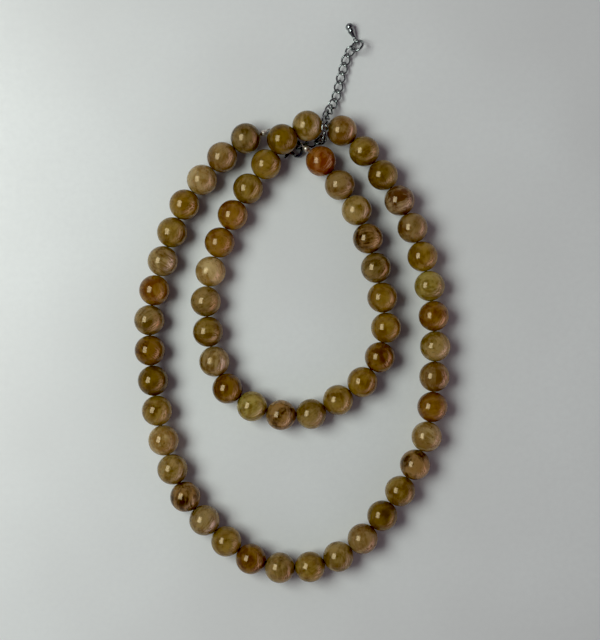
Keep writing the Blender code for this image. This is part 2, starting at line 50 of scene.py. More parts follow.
# Stones and their thread
BEAD_DIAMETER = 10.0 * MM
BEAD_RADIUS = BEAD_DIAMETER / 2.0
BEAD_RINGS = 7
BEAD_ROUND = 56
BEAD_PROFILE = 30
DRILL_HOLE = 0.95 * MM
HOLE_LIP = 0.22 * MM
THREAD_DIAMETER = 0.8 * MM

# Bead tips, jump rings, clasp, chain and drop, as the solids have them but for the three below
TIP_DIAMETER = 2.2 * MM
TIP_LOOP_DIAMETER = 2.1 * MM
TIP_WIRE = 0.45 * MM
TIP_GAP = 0.3 * MM
TIP_REACH = (TIP_DIAMETER + TIP_LOOP_DIAMETER) / 2.0 - TIP_WIRE * 0.9
OUTER_TIP_AZIMUTH = math.radians(18.0)
OUTER_TIP_DIP = math.radians(14.0)
CLASP_RING_DIAMETER = 4.2 * MM
CLASP_RING_WIRE = 0.55 * MM
CLASP_RING_AZIMUTH = math.radians(-20.0)
END_RING_DIAMETER = 4.8 * MM
END_RING_WIRE = 0.65 * MM
END_RING_SHIFT = 0.35 * MM
DROP_RING_DIAMETER = 5.0 * MM
DROP_RING_WIRE = 0.8 * MM
DROP_RING_AZIMUTH = math.radians(15.6)
DROP_RING_TILT = math.radians(44.2)
DROP_RING_HIGH_SIDE = math.radians(136.1)
DROP_RING_SLACK = 0.49 * MM
FLOOR_GAP = 0.05 * MM
CLASP_AZIMUTH = math.radians(-38.5)
CLASP_EYE_DIAMETER = 3.1 * MM
CLASP_EYE_HOLE = 1.8 * MM
CLASP_EYE_THICKNESS = 1.0 * MM
CLASP_REACH = 10.25 * MM
CLASP_WIDTH = 6.2 * MM
CLASP_THICKNESS = 3.0 * MM
HOOK_THICKNESS = 1.0 * MM
HOOK_BAR = 1.1 * MM
LEVER_THICKNESS = 1.0 * MM
LEVER_SIDE_GAP = 0.15 * MM
LEVER_END_GAP = 0.15 * MM
PIVOT_PIN = 0.7 * MM
PIVOT_GAP = 0.12 * MM
THUMB_TAB = 2.2 * MM
LINK_LENGTH = 4.55 * MM
LINK_WIDTH = 3.3 * MM
LINK_WIRE = 0.55 * MM
LINK_TWIST = math.radians(45.0)
LINK_GAP = 0.355 * MM
LINK_COUNT = 15
DROP_LENGTH = 5.6 * MM
DROP_LOOP_DIAMETER = 2.6 * MM
DROP_LOOP_WIRE = 0.45 * MM
DROP_AZIMUTH = math.radians(114.8)
DROP_LOOP_ROLL = math.radians(47.2)
DROP_LOOP_SLACK = 0.18 * MM

# The links' wire, the drop and its neck, shown a little stouter than the solids have them
LINK_WIRE_SHOWN = 0.64 * MM
DROP_DIAMETER = 2.7 * MM
DROP_NECK = 1.15 * MM

# How finely the metal is made
WIRE_ROUND = 14
RING_ROUND = 60
LINK_ROUND = 40
TURNED_ROUND = 48
SAW_CUT = 0.07 * MM
CAST_GRID = 0.085 * MM
LEVER_GRID = 0.065 * MM
CAST_SOFTENING = 12
SHARP_ANGLE = math.radians(38.0)

# Where the jump rings are sawn through, and the seam of the folded bead tips
CLASP_RING_CUT = math.radians(20.0)
END_RING_CUT = math.radians(150.0)
DROP_RING_CUT = math.radians(-70.0)
TIP_SEAM = 0.09 * MM
TIP_SEAM_RADIUS = 0.93

# The string's route: turn, x, y and lift off the surface of chosen points, in millimetres.
STRING_ROUTE = [
    ("inner", 9.4, 46.6, 0.0),
    ("inner", 21.0, 30.8, 0.0),
    ("inner", 27.3, 12.4, 0.0),
    ("inner", 30.8, -7.1, 0.0),
    ("inner", 29.2, -16.9, 0.0),
    ("inner", 24.0, -25.1, 0.0),
    ("inner", 15.9, -31.4, 0.0),
    ("inner", 7.2, -36.3, 0.0),
    ("inner", -3.0, -37.0, 0.0),
    ("inner", -12.9, -34.2, 0.0),
    ("inner", -21.1, -28.5, 0.0),
    ("inner", -25.6, -19.6, 0.0),
    ("inner", -28.5, 0.1, 0.0),
    ("inner", -24.1, 19.3, 0.0),
    ("inner", -15.4, 36.2, 0.0),
    ("inner", -9.2, 44.7, 0.0),
    ("inner", -3.5, 53.1, 3.4),
    ("inner", 5.3, 58.1, 2.0),
    ("outer", 16.3, 56.6, 0.0),
    ("outer", 23.2, 50.4, 0.0),
    ("outer", 35.0, 34.1, 0.0),
    ("outer", 42.5, 16.3, 0.0),
    ("outer", 46.4, -3.0, 0.0),
    ("outer", 46.8, -23.1, 0.0),
    ("outer", 44.5, -43.0, 0.0),
    ("outer", 36.1, -60.9, 0.0),
    ("outer", 24.0, -76.7, 0.0),
    ("outer", 16.2, -82.9, 0.0),
    ("outer", 6.7, -86.7, 0.0),
    ("outer", -3.7, -87.2, 0.0),
    ("outer", -13.5, -84.3, 0.0),
    ("outer", -21.9, -78.3, 0.0),
    ("outer", -35.2, -63.8, 0.0),
    ("outer", -42.5, -44.9, 0.0),
    ("outer", -45.9, -24.9, 0.0),
    ("outer", -47.0, -5.0, 0.0),
    ("outer", -42.6, 13.8, 0.0),
    ("outer", -35.4, 32.5, 0.0),
    ("outer", -23.3, 47.7, 0.0),
    ("outer", -15.3, 54.1, 0.0),
]

# The extension chain's route from the end ring: x, y, height in millimetres, and roll in degrees
CHAIN_START_ROLL = -12.4
CHAIN_ROUTE = [
    (9.5, 53.8, 3.1, 22.9),
    (9.8, 53.9, 5.2, -70.6),
    (10.7, 56.7, 10.3, -57.2),
    (11.2, 61.3, 6.3, -46.1),
    (12.8, 64.6, 3.1, -24.8),
    (14.4, 67.8, 1.7, -10.3),
    (16.4, 75.8, 1.7, -17.8),
    (18.3, 81.9, 1.6, -19.9),
    (20.3, 84.9, 1.8, -1.1),
]

# Kinds of stone in the string: deep tone, pale tone, painted sheen tone, then how much each stone
# shows of silky streaks, of dark specks and of painted sheen, the window's light painted on a flank
STONE_KINDS = {
    "orange": ("694116", "8d6b2d", "d6a684", 0.4, 0.35, 0.8),
    "ember": ("743c14", "a07440", "d6a684", 0.4, 0.35, 0.8),
    "honey": ("6a4d16", "8f7535", "d2ac86", 0.35, 0.3, 0.8),
    "olive": ("644a16", "8e773d", "ceac88", 0.4, 0.35, 0.8),
    "moss": ("543d0b", "765d1f", "be9a74", 0.35, 0.45, 0.7),
    "sand": ("76622b", "9f8f50", "d6bc9c", 0.45, 0.3, 0.7),
    "greige": ("6c541b", "988251", "d4b8a2", 0.55, 0.4, 0.8),
    "rose": ("6b4d1f", "937b4f", "d8b49c", 0.45, 0.4, 0.9),
    "grey_rose": ("664d21", "948055", "dac0b0", 0.7, 0.35, 1.0),
    "peach": ("876b38", "af9b6e", "dcba9e", 0.45, 0.6, 0.7),
    "brown": ("5b461b", "8a7448", "cea484", 0.55, 0.4, 0.9),
    "rust": ("56330d", "7c5d21", "cc9e7a", 0.9, 0.35, 0.9),
    "umber": ("3e270a", "8e7044", "d0ac88", 0.65, 0.35, 1.0),
    "wine": ("583a1e", "9a8460", "d4b6a0", 0.6, 0.45, 0.9),
}

# The stones in their order on the string: kind, the way that its streaks run in degrees, then
# the way and strength of its one darker (below zero) or paler (above zero) side
STONE_ORDER = [
    ("ember", 60, -40, -0.5), ("rose", 20, 0, 0.0), ("greige", 80, 120, 0.3),
    ("umber", 15, -30, 0.5), ("brown", 50, 90, -0.3), ("honey", 100, 200, -0.5),
    ("honey", 30, -60, -0.4), ("rust", 120, -20, 0.4), ("honey", 60, -50, -0.5),
    ("olive", 110, -10, 0.4), ("greige", 40, -30, 0.2), ("umber", 70, 100, 0.3),
    ("sand", 20, 0, 0.0), ("rust", 90, 60, 0.3), ("grey_rose", 75, -10, 0.4),
    ("olive", 0, -80, -0.6), ("brown", 35, 150, 0.5), ("peach", 110, 180, 0.3),
    ("orange", 150, -90, 0.5), ("orange", 80, -10, 0.5), ("olive", 60, 90, 0.3),
    ("honey", 40, 120, 0.3), ("moss", 100, 0, 0.2), ("greige", 95, 0, 0.0),
    ("rose", 70, -100, -0.4), ("olive", 30, 90, 0.3), ("olive", 120, -30, 0.4),
    ("wine", 20, 100, -0.6), ("rose", 60, 0, 0.1), ("honey", 95, 170, -0.4),
    ("sand", 5, -90, -0.7), ("orange", 60, 150, -0.3), ("greige", 110, -10, 0.5),
    ("rose", 85, 180, 0.2), ("orange", 20, 100, -0.3), ("peach", 140, 200, -0.5),
    ("umber", 110, -45, 1.1), ("olive", 75, -70, -0.5), ("moss", 40, 160, 0.5),
    ("rose", 100, -80, 0.2), ("greige", 80, -60, -0.3), ("olive", 30, -45, 0.4),
    ("brown", 95, -140, 0.7), ("rust", 88, 0, 0.0), ("olive", 10, 90, 0.3),
    ("grey_rose", 60, 0, 0.3), ("umber", 85, 0, 0.1), ("greige", 70, 30, 0.2),
    ("peach", 95, 0, -0.6), ("olive", 55, 180, -0.3), ("moss", 20, -90, -0.2),
    ("rust", 130, 60, 0.5), ("brown", 45, 0, 0.0), ("orange", 100, 150, -0.3),
    ("grey_rose", 150, -60, 0.4), ("olive", 75, 0, 0.0), ("honey", 25, 60, -0.3),
    ("peach", 90, 0, -0.1), ("rose", 65, 110, 0.5), ("brown", 85, -20, 0.3),
]
INNER_STONES = 24
STONE_SEED = 41

# The painted sheen of each stone: the window's light painted as a soft arc on the flank turned
# from the window, in shares of its radius
PAINTED_SHEEN_AZIMUTH = -26.0
PAINTED_SHEEN_PLACE = 0.62
PAINTED_SHEEN_WIDTH = 0.15
PAINTED_SHEEN_SPREAD = 42.0
# Painted light: how much of the window's light comes out of a stone on its far side, painted
# into its tones as darker on the window's side and paler on the far side
PAINTED_THROUGH_LIGHT = 0.4

# How far the single stones differ from their chart, how far their painted sheen turns and how weak
# it may be, and where the darker or paler side is
STREAKS_LEAN = 14.0
STREAKS_TURN = 6.0
PATTERN_SHIFT = 60.0
PAINTED_SHEEN_TURN = 10.0
PAINTED_SHEEN_LEAST = 0.6
SIDE_OFF_VERTICAL = 38.0
SIDE_SHIFT = 0.08
SHADE_RANGE = (0.88, 1.1)
SPECK_TONE = "3a1a08"
GLOSS_TONE = "ffe6c0"

# What the points of the stones carry for their material
STONE_FIELDS = [
    ("stone_place", "FLOAT_VECTOR", "vector"),
    ("stone_traits", "FLOAT_VECTOR", "vector"),
    ("stone_side", "FLOAT", "value"),
    ("stone_deep", "FLOAT_COLOR", "color"),
    ("stone_pale", "FLOAT_COLOR", "color"),
    ("stone_sheen", "FLOAT_COLOR", "color"),
]

# Camera, straight above the table, and the photograph's frame
CAMERA_PLACE = ROUTE_TO_PART + Vector((2.53, -5.66, 400.0)) * MM
CAMERA_LENS = 67.53
CAMERA_SENSOR = 36.0
BLACK_POINT = 0.012

# Light: a window to the left, a dark ceiling, paler walls and a dim lamp far to the right. The
# ceiling's and walls' tones are full at these heights of the view's direction, and the lamp
# fades in and out over these ranges.
WINDOW_DISTANCE = 0.59
WINDOW_OFF_VERTICAL = 36.5
WINDOW_AZIMUTH = 170.5
WINDOW_SIZE = (0.29, 0.43)
WINDOW_RADIANCE = 7.5
WINDOW_TONE = "f5fcf5"
CEILING_TONE = "444048"
CEILING_RISE = 0.75
WALL_TONE = "beacb6"
WALL_RISE = 0.05
FAR_LAMP_TONE = "f2dcc8"
FAR_LAMP_AZIMUTH = -20.0
FAR_LAMP_STRENGTH = 0.45
FAR_LAMP_FOOT = (0.0, 0.2)
FAR_LAMP_HEAD = (0.65, 0.25)
FAR_LAMP_EDGE = (0.78, 0.93)
TABLE_SIDE = 6.0


# Tools for the materials

def tone(code):
    """A colour from its sRGB hex code, as linear values."""
    parts = [int(code[start:start + 2], 16) / 255.0 for start in (0, 2, 4)]
    return tuple(part / 12.92 if part <= 0.04045 else ((part + 0.055) / 1.055) ** 2.4
                 for part in parts)


def colour(code):
    return (*tone(code), 1.0)


def add_node(tree, kind, inputs=None, **settings):
    """Adds a node with its settings. inputs gives a socket's name or number and the value or
    the output that goes into it."""
    made = tree.nodes.new(kind)
    for setting, value in settings.items():
        setattr(made, setting, value)
    for socket, value in (inputs or {}).items():
        if isinstance(value, bpy.types.NodeSocket):
            tree.links.new(value, made.inputs[socket])
        else:
            made.inputs[socket].default_value = value
    return made


def new_material(name):
    material = bpy.data.materials.new(name)
    material.use_nodes = True
    tree = material.node_tree
    return material, tree, tree.nodes["Principled BSDF"]


def spread(tree, value, low, high, to_low=0.0, to_high=1.0):
    """The value stretched from low..high to to_low..to_high, and held there."""
    return add_node(tree, "ShaderNodeMapRange",
                    {"Value": value, "From Min": low, "From Max": high,
                     "To Min": to_low, "To Max": to_high}).outputs["Result"]


def sum_of(tree, operation, first, second, held=False):
    return add_node(tree, "ShaderNodeMath", {0: first, 1: second}, operation=operation,
                    use_clamp=held).outputs[0]


def blend_of(tree, factor, first, second, how="MIX"):
    return add_node(tree, "ShaderNodeMix", {0: factor, 6: first, 7: second}, data_type="RGBA",
                    blend_type=how, clamp_factor=True).outputs[2]


def grain(tree, place, scale, detail=2.0, rough=0.5, warp=0.0):
    return add_node(tree, "ShaderNodeTexNoise",
                    {"Vector": place, "Scale": scale, "Detail": detail, "Roughness": rough,
                     "Distortion": warp}).outputs["Fac"]


def carried(tree, name, output):
    """What the points of the stones carry under the name."""
    return add_node(tree, "ShaderNodeAttribute", attribute_name=name).outputs[output]


def silky_mix(tree, place, drawn, streaky):
    """How far each point is from the deep tone to the pale one, but for the stone's one side."""
    # Clouds about 5 mm across
    clouds = spread(tree, grain(tree, place, 0.2, 3.0, 0.5, 0.8), 0.36, 0.64)
    # Silky streaks 0.5 mm wide, coarser than the real lamellae, and bands of them
    streaks = spread(tree, grain(tree, drawn, 1.5, 3.0, 0.6, 0.4), 0.32, 0.68, -0.5, 0.5)
    bands = spread(tree, grain(tree, drawn, 0.5, 1.0, 0.4, 0.8), 0.34, 0.66, -0.5, 0.5)
    silk = sum_of(tree, "MULTIPLY", sum_of(tree, "ADD", streaks, bands), streaky)
    return sum_of(tree, "ADD", clouds, silk)


def polished_feldspar():
    """Moonstone and sunstone feldspar, tumbled round and polished. The eye gets a clouded, half
    see-through body in warm brown, silky streaks along one way of the crystal, rusty specks,
    a painted pale sheen, the window's light painted on the flank turned from it, and a wet gloss."""
    material, tree, shader = new_material("polished_moonstone_feldspar")
    place = carried(tree, "stone_place", "Vector")
    traits = add_node(tree, "ShaderNodeSeparateXYZ",
                      {"Vector": carried(tree, "stone_traits", "Vector")})
    # The last trait is how much painted sheen, the window's light painted on a flank, each point
    # has
    streaky, specked, glow = traits.outputs

    # The body, with everything drawn out along the crystal to several millimetres
    drawn = add_node(tree, "ShaderNodeMapping",
                     {"Vector": place, "Scale": (1.0, 1.0, 0.09)}).outputs[0]
    mottle = spread(tree, grain(tree, place, 1.1, 3.0, 0.65), 0.3, 0.7, -0.12, 0.12)
    side = sum_of(tree, "ADD", mottle, carried(tree, "stone_side", "Fac"))
    mix = sum_of(tree, "ADD", silky_mix(tree, place, drawn, streaky), side, held=True)
    body = blend_of(tree, mix, carried(tree, "stone_deep", "Color"),
                    carried(tree, "stone_pale", "Color"))

    # Rusty and dark specks, 0.3 to 0.8 mm
    speck_field = grain(tree, place, 1.05, 4.0, 0.62, 0.3)
    specks = sum_of(tree, "MULTIPLY", spread(tree, speck_field, 0.58, 0.67), specked)
    body = blend_of(tree, specks, body, colour(SPECK_TONE))

    # The painted sheen: the window's light painted where it comes out of the stone's far flank,
    # broken by the streaks
    broken = spread(tree, grain(tree, drawn, 2.0, 2.0, 0.7, 0.6), 0.42, 0.57, 0.08, 1.0)
    lit = sum_of(tree, "MULTIPLY", sum_of(tree, "MULTIPLY", glow, broken), 1.5, held=True)
    body = blend_of(tree, lit, body, carried(tree, "stone_sheen", "Color"))

    tree.links.new(body, shader.inputs["Base Color"])
    polish = spread(tree, grain(tree, place, 0.9, 3.0, 0.6), 0.3, 0.7, 0.06, 0.14)
    tree.links.new(polish, shader.inputs["Roughness"])
    shader.inputs["IOR"].default_value = 1.53
    shader.inputs["Specular Tint"].default_value = colour(GLOSS_TONE)
    # Less scattering under the surface where the painted sheen lies, so that the painted light
    # stays crisp
    tree.links.new(spread(tree, lit, 0.0, 1.0, 0.93, 0.35), shader.inputs["Subsurface Weight"])
    shader.inputs["Subsurface Radius"].default_value = (1.0, 0.72, 0.4)
    shader.inputs["Subsurface Scale"].default_value = 5.0 * MM
    # Faint hollows left by the tumbling, 1.5 mm across
    hollows = grain(tree, place, 0.65, 1.0)
    bump = add_node(tree, "ShaderNodeBump", {"Strength": 0.07, "Distance": 0.05 * MM,
                                             "Height": hollows})
    tree.links.new(bump.outputs["Normal"], shader.inputs["Normal"])
    return material


def worked_metal(name, bright, dull, smooth, rough):
    """A metal from a bright to a dull tone and from smooth to rough, with rubbed scratches."""
    material, tree, shader = new_material(name)
    place = add_node(tree, "ShaderNodeTexCoord").outputs["Object"]
    worn = grain(tree, place, 0.55 / MM, 3.0, 0.6)
    metal = blend_of(tree, spread(tree, worn, 0.35, 0.7), colour(bright), colour(dull))
    tree.links.new(metal, shader.inputs["Base Color"])
    # Rubbed scratches 0.1 mm wide, drawn twice as coarse as they are
    rubbed = add_node(tree, "ShaderNodeMapping",
                      {"Vector": place, "Rotation": (0.3, 0.5, 0.8),
                       "Scale": (1.0, 0.12, 1.0)}).outputs[0]
    scratches = grain(tree, rubbed, 5.0 / MM, 2.0, 0.6)
    roughness = sum_of(tree, "ADD", spread(tree, worn, 0.3, 0.7, smooth, rough),
                       spread(tree, scratches, 0.4, 0.7, 0.0, 0.1))
    tree.links.new(roughness, shader.inputs["Roughness"])
    shader.inputs["Metallic"].default_value = 1.0
    bump = add_node(tree, "ShaderNodeBump", {"Strength": 0.25, "Distance": 0.01 * MM,
                                             "Height": scratches})
    tree.links.new(bump.outputs["Normal"], shader.inputs["Normal"])
    return material


def polished_steel():
    """Stainless steel, drawn or cast and then barrel polished. The eye gets a dark mirror with
    sharp white glints, fine rubbed scratches and a duller grey in places."""
    return worked_metal("barrel_polished_stainless_steel", "a0a8a6", "666c6c", 0.08, 0.2)


def satin_plate():
    """Silver plate on the folded bead tips. The eye gets a paler, softer glow than the steel's."""
    return worked_metal("satin_silver_plate", "efeadc", "cfc8b8", 0.34, 0.46)


def waxed_thread():
    """Twisted nylon thread, waxed. The eye gets a thin tan line with darker lays across it."""
    material, tree, shader = new_material("waxed_nylon_thread")
    place = add_node(tree, "ShaderNodeTexCoord").outputs["Object"]
    lays = grain(tree, place, 3.2 / MM, 2.0, 0.6)
    fibre = blend_of(tree, spread(tree, lays, 0.35, 0.65), colour("7c5f3e"),
                     colour("b89a70"))
    tree.links.new(fibre, shader.inputs["Base Color"])
    tree.links.new(spread(tree, lays, 0.3, 0.7, 0.45, 0.7), shader.inputs["Roughness"])
    bump = add_node(tree, "ShaderNodeBump", {"Strength": 0.5, "Distance": 0.06 * MM,
                                             "Height": lays})
    tree.links.new(bump.outputs["Normal"], shader.inputs["Normal"])
    return material


def satin_tabletop():
    """A pale satin laminate. The eye gets a nearly even grey-white with faint warm and cool
    drifts and a dim soft reflection."""
    material, tree, shader = new_material("pale_satin_laminate")
    place = add_node(tree, "ShaderNodeTexCoord").outputs["Object"]
    drift = grain(tree, place, 14.0, 2.0, 0.5)
    fine = grain(tree, place, 0.5 / MM, 2.0, 0.6)
    ground = blend_of(tree, spread(tree, drift, 0.35, 0.65), colour("dadcdc"),
                      colour("e1e4e4"))
    ground = blend_of(tree, spread(tree, fine, 0.3, 0.7, 0.0, 0.25), ground,
                      colour("d3d5d6"))
    tree.links.new(ground, shader.inputs["Base Color"])
    tree.links.new(spread(tree, fine, 0.3, 0.7, 0.3, 0.38), shader.inputs["Roughness"])
    return material


# Tools for the shapes

def square_to(normal, way):
    """The direction made square to the normal."""
    return (way - way.dot(normal) * normal).normalized()


def placed(location, axis, across):
    """A matrix at location with its Z along axis and its X along across, made square to it."""
    z = axis.normalized()
    x = square_to(z, across)
    y = z.cross(x)
    return Matrix.Translation(location) @ Matrix((x, y, z)).transposed().to_4x4()


def heading(azimuth, dip=0.0):
    flat = math.cos(dip)
    return Vector((flat * math.cos(azimuth), flat * math.sin(azimuth), -math.sin(dip)))


def smooth_curve(points, steps=24):
    """A Catmull-Rom curve through the points. A fourth number, such as a roll, follows it."""
    ends = [2.0 * points[0] - points[1]] + points + [2.0 * points[-1] - points[-2]]
    places = []
    for a, b, c, d in zip(ends, ends[1:], ends[2:], ends[3:]):
        for step in range(steps):
            t = step / steps
            places.append(0.5 * (2.0 * b + (c - a) * t + (2.0 * a - 5.0 * b + 4.0 * c - d) * t * t
                                 + (3.0 * b - a - 3.0 * c + d) * t * t * t))
    places.append(points[-1])
    return places


def curve_length(places):
    return sum((b.xyz - a.xyz).length for a, b in zip(places, places[1:]))


def place_along(places, distance):
    """The place at a distance along the curve, and the curve's direction there."""
    for a, b in zip(places, places[1:]):
        span = (b.xyz - a.xyz).length
        if distance <= span:
            break
        distance -= span
    return a.lerp(b, distance / span), (b.xyz - a.xyz).normalized()


def finished(name, bm, material, body, nodes=()):
    """Makes the piece from its mesh in the route frame, gives it its material and its body, and
    hides the solids that it stands for.
    """
    bmesh.ops.recalc_face_normals(bm, faces=bm.faces)
    bmesh.ops.translate(bm, verts=bm.verts, vec=ROUTE_TO_PART)
    mesh = bpy.data.meshes.new(name)
    bm.to_mesh(mesh)
    bm.free()
    mesh.shade_smooth()
    mesh.set_sharp_from_angle(angle=SHARP_ANGLE)
    mesh.materials.append(material)
    piece = bpy.data.objects.new(name, mesh)
    bpy.context.scene.collection.objects.link(piece)
    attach(piece, body)
    if nodes:
        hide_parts(*nodes)
    return piece


def spin_round(bm, geom, axis, steps):
    """A full turn about the axis through the origin."""
    bmesh.ops.spin(bm, geom=geom, cent=(0.0, 0.0, 0.0), axis=axis, dvec=(0.0, 0.0, 0.0),
                   angle=2.0 * math.pi, steps=steps, use_merge=True)


def turned(bm, profile, matrix, steps=TURNED_ROUND):
    """A form turned about Z from points of radius and height, closed where they meet the axis."""
    made = bmesh.new()
    verts = [made.verts.new((radius, 0.0, height)) for radius, height in profile]
    edges = [made.edges.new(pair) for pair in zip(verts, verts[1:])]
    spin_round(made, verts + edges, UP, steps)
    bmesh.ops.remove_doubles(made, verts=made.verts, dist=1e-7)
    add_to(bm, made, matrix)


def add_to(bm, made, matrix):
    """Adds the made form to the piece's mesh, put in place by the matrix."""
    bmesh.ops.transform(made, matrix=matrix, verts=made.verts)
    carrier = bpy.data.meshes.new("carrier")
    made.to_mesh(carrier)
    made.free()
    bm.from_mesh(carrier)
    bpy.data.meshes.remove(carrier)


def wire_section(made, radius, wire):
    section = bmesh.ops.create_circle(made, segments=WIRE_ROUND, radius=wire / 2.0,
                                      matrix=Matrix.Translation((radius, 0.0, 0.0))
                                      @ Matrix.Rotation(math.radians(90.0), 4, "X"))
    edges = {edge for vert in section["verts"] for edge in vert.link_edges}
    return section["verts"] + list(edges)


def wire_ring(bm, outside, wire, matrix, steps=RING_ROUND):
    """A closed ring of round wire about the matrix's Z."""
    made = bmesh.new()
    spin_round(made, wire_section(made, (outside - wire) / 2.0, wire), UP, steps)
    add_to(bm, made, matrix)


def jump_ring(bm, outside, wire, matrix, cut):
    """A ring of round wire about the matrix's Z, sawn through at the angle cut from its X."""
    made = bmesh.new()
    radius = (outside - wire) / 2.0
    gap = SAW_CUT / radius
    section = wire_section(made, radius, wire)
    bmesh.ops.spin(made, geom=section, cent=(0.0, 0.0, 0.0), axis=UP, dvec=(0.0, 0.0, 0.0),
                   angle=2.0 * math.pi - gap, steps=RING_ROUND, use_merge=False)
    bmesh.ops.holes_fill(made, edges=[edge for edge in made.edges if edge.is_boundary], sides=0)
    add_to(bm, made, matrix @ Matrix.Rotation(cut + gap / 2.0, 4, "Z"))


# The string of stones

def bead_centres(turn):
    rest = UP * BEAD_RADIUS
    route = [Vector(row[1:]) * MM + rest for row in STRING_ROUTE if row[0] == turn]
    places = smooth_curve(route)
    steps = round(curve_length(places) / BEAD_DIAMETER)
    pitch = curve_length(places) / steps
    return [place_along(places, step * pitch)[0] for step in range(steps + 1)]


def settle(centres, before, after):
    """Lifts the tilted stones as their solids are lifted."""
    half_band = BEAD_RADIUS * math.sin(math.pi / (2.0 * BEAD_RINGS))
    for _ in range(3):
        path = [before] + centres + [after]
        for previous, centre, following in zip(path, path[1:], path[2:]):
            rise = abs((following - previous).normalized().z)
            centre.z = max(centre.z, BEAD_RADIUS * math.sqrt(1.0 - rise ** 2) + half_band * rise)


def drilled_bead():
    """One round stone about Z with its drill hole right through and the hole's lips rounded."""
    hole = DRILL_HOLE / 2.0
    lip = math.asin((hole + HOLE_LIP) / BEAD_RADIUS)
    angles = [lip + (math.pi - 2.0 * lip) * step / BEAD_PROFILE for step in range(BEAD_PROFILE + 1)]
    profile = [(BEAD_RADIUS * math.sin(angle), BEAD_RADIUS * math.cos(angle)) for angle in angles]
    top = BEAD_RADIUS * math.cos(lip)
    shoulder = [(hole + HOLE_LIP * 0.3, top - HOLE_LIP * 0.12), (hole, top - HOLE_LIP * 0.8)]
    profile = list(reversed(shoulder)) + profile + [(x, -z) for x, z in shoulder]
    made = bmesh.new()
    verts = [made.verts.new((x, 0.0, z)) for x, z in profile]
    edges = [made.edges.new(pair) for pair in zip(verts, verts[1:] + verts[:1])]
    spin_round(made, verts + edges, UP, BEAD_ROUND)
    mesh = bpy.data.meshes.new("drilled_bead")
    made.to_mesh(mesh)
    made.free()
    return mesh


def stone_way(azimuth, off_vertical):
    """A direction seen from above at the azimuth and off the vertical, both in degrees."""
    flat = math.sin(math.radians(off_vertical))
    turn = math.radians(azimuth)
    return np.array((flat * math.cos(turn), flat * math.sin(turn),
                     math.cos(math.radians(off_vertical))))


def painted_sheen_over(away, azimuth, strength):
    """How much of the painted sheen each point has: painted light in a soft arc on the upper flank
    at the azimuth.
    """
    reach = np.hypot(away[:, 0], away[:, 1])
    turn = np.arctan2(away[:, 1], away[:, 0]) - math.radians(azimuth)
    turn = np.abs((turn + math.pi) % (2.0 * math.pi) - math.pi)
    lit = np.exp(-((reach - PAINTED_SHEEN_PLACE) / PAINTED_SHEEN_WIDTH) ** 2)
    lit *= np.exp(-(turn / math.radians(PAINTED_SHEEN_SPREAD)) ** 2)
    return lit * np.clip(away[:, 2] * 3.0, 0.0, 1.0) * strength


def streak_axes(way, draw):
    """The axes of one stone as rows, the last of them along its streaks."""
    lean = math.radians(draw.uniform(-STREAKS_LEAN, STREAKS_LEAN))
    turn = math.radians(way + draw.uniform(-STREAKS_TURN, STREAKS_TURN))
    along = Vector((math.cos(turn) * math.cos(lean), math.sin(turn) * math.cos(lean),
                    math.sin(lean)))
    across = along.cross(UP).normalized()
    return np.array((across, along.cross(across), along))


def stone_values(away, row, draw):
    """What the points of one stone carry, in the order of STONE_FIELDS, with its places in
    millimetres. away gives each point from the stone's middle, in shares of its radius."""
    kind, streaks_way, side_way, side_strength = row
    *tones, streaky, specked, glow = STONE_KINDS[kind]
    count = len(away)
    axes = streak_axes(streaks_way, draw)
    shift = np.array([draw.uniform(-PATTERN_SHIFT, PATTERN_SHIFT) for _ in range(3)])
    place = away @ axes.T * (BEAD_RADIUS / MM) + shift
    # The painted sheen: the window's light painted as an arc on the flank turned from the window
    painted_sheen = painted_sheen_over(away, PAINTED_SHEEN_AZIMUTH + draw.uniform(-PAINTED_SHEEN_TURN, PAINTED_SHEEN_TURN),
                       glow * draw.uniform(PAINTED_SHEEN_LEAST, 1.0))
    traits = np.column_stack((np.full(count, streaky), np.full(count, specked), painted_sheen))
    nearness = np.clip(away @ stone_way(side_way, SIDE_OFF_VERTICAL), 0.0, 1.0) ** 3
    side = nearness * side_strength + draw.uniform(-SIDE_SHIFT, SIDE_SHIFT)
    # Tones painted darker on the window's side and paler on the far side as painted light, times a
    # random lightness
    painted_through_light = 1.0 + PAINTED_THROUGH_LIGHT * (away @ stone_way(WINDOW_AZIMUTH + 180.0, 90.0))
    tone_and_painted_light = draw.uniform(*SHADE_RANGE) * painted_through_light
    return [place, traits, side] + [
        np.column_stack((np.outer(tone_and_painted_light, tone(code)), np.ones(count))) for code in tones]


def mark_stones(mesh, centres, chart, draw):
    """Writes each stone's own places and traits, its painted sheen and its tones with painted light
    through them, on the points of the mesh.
    """
    points = np.empty(len(mesh.vertices) * 3)
    mesh.vertices.foreach_get("co", points)
    points = points.reshape(len(centres), -1, 3) - np.array(ROUTE_TO_PART)
    stones = [stone_values((own - np.array(centre)) / BEAD_RADIUS, row, draw)
              for own, centre, row in zip(points, centres, chart)]
    for (name, kind, field), values in zip(STONE_FIELDS, zip(*stones)):
        attribute = mesh.attributes.new(name, kind, "POINT")
        attribute.data.foreach_set(field, np.concatenate(values).ravel().astype(np.float32))


def string_turn(name, node, centres, before, after, chart, draw):
    """One turn of stones over its solid."""
    bead = drilled_bead()
    size = len(bead.vertices)
    bm = bmesh.new()
    path = [before] + centres + [after]
    for previous, centre, following in zip(path, path[1:], path[2:]):
        bm.from_mesh(bead)
        bm.verts.ensure_lookup_table()
        along = following - previous
        bmesh.ops.transform(bm, matrix=placed(centre, along, UP.cross(along)),
                            verts=bm.verts[-size:])
    bpy.data.meshes.remove(bead)
    piece = finished(name, bm, FELDSPAR, "necklace", [node])
    mark_stones(piece.data, centres, chart, draw)


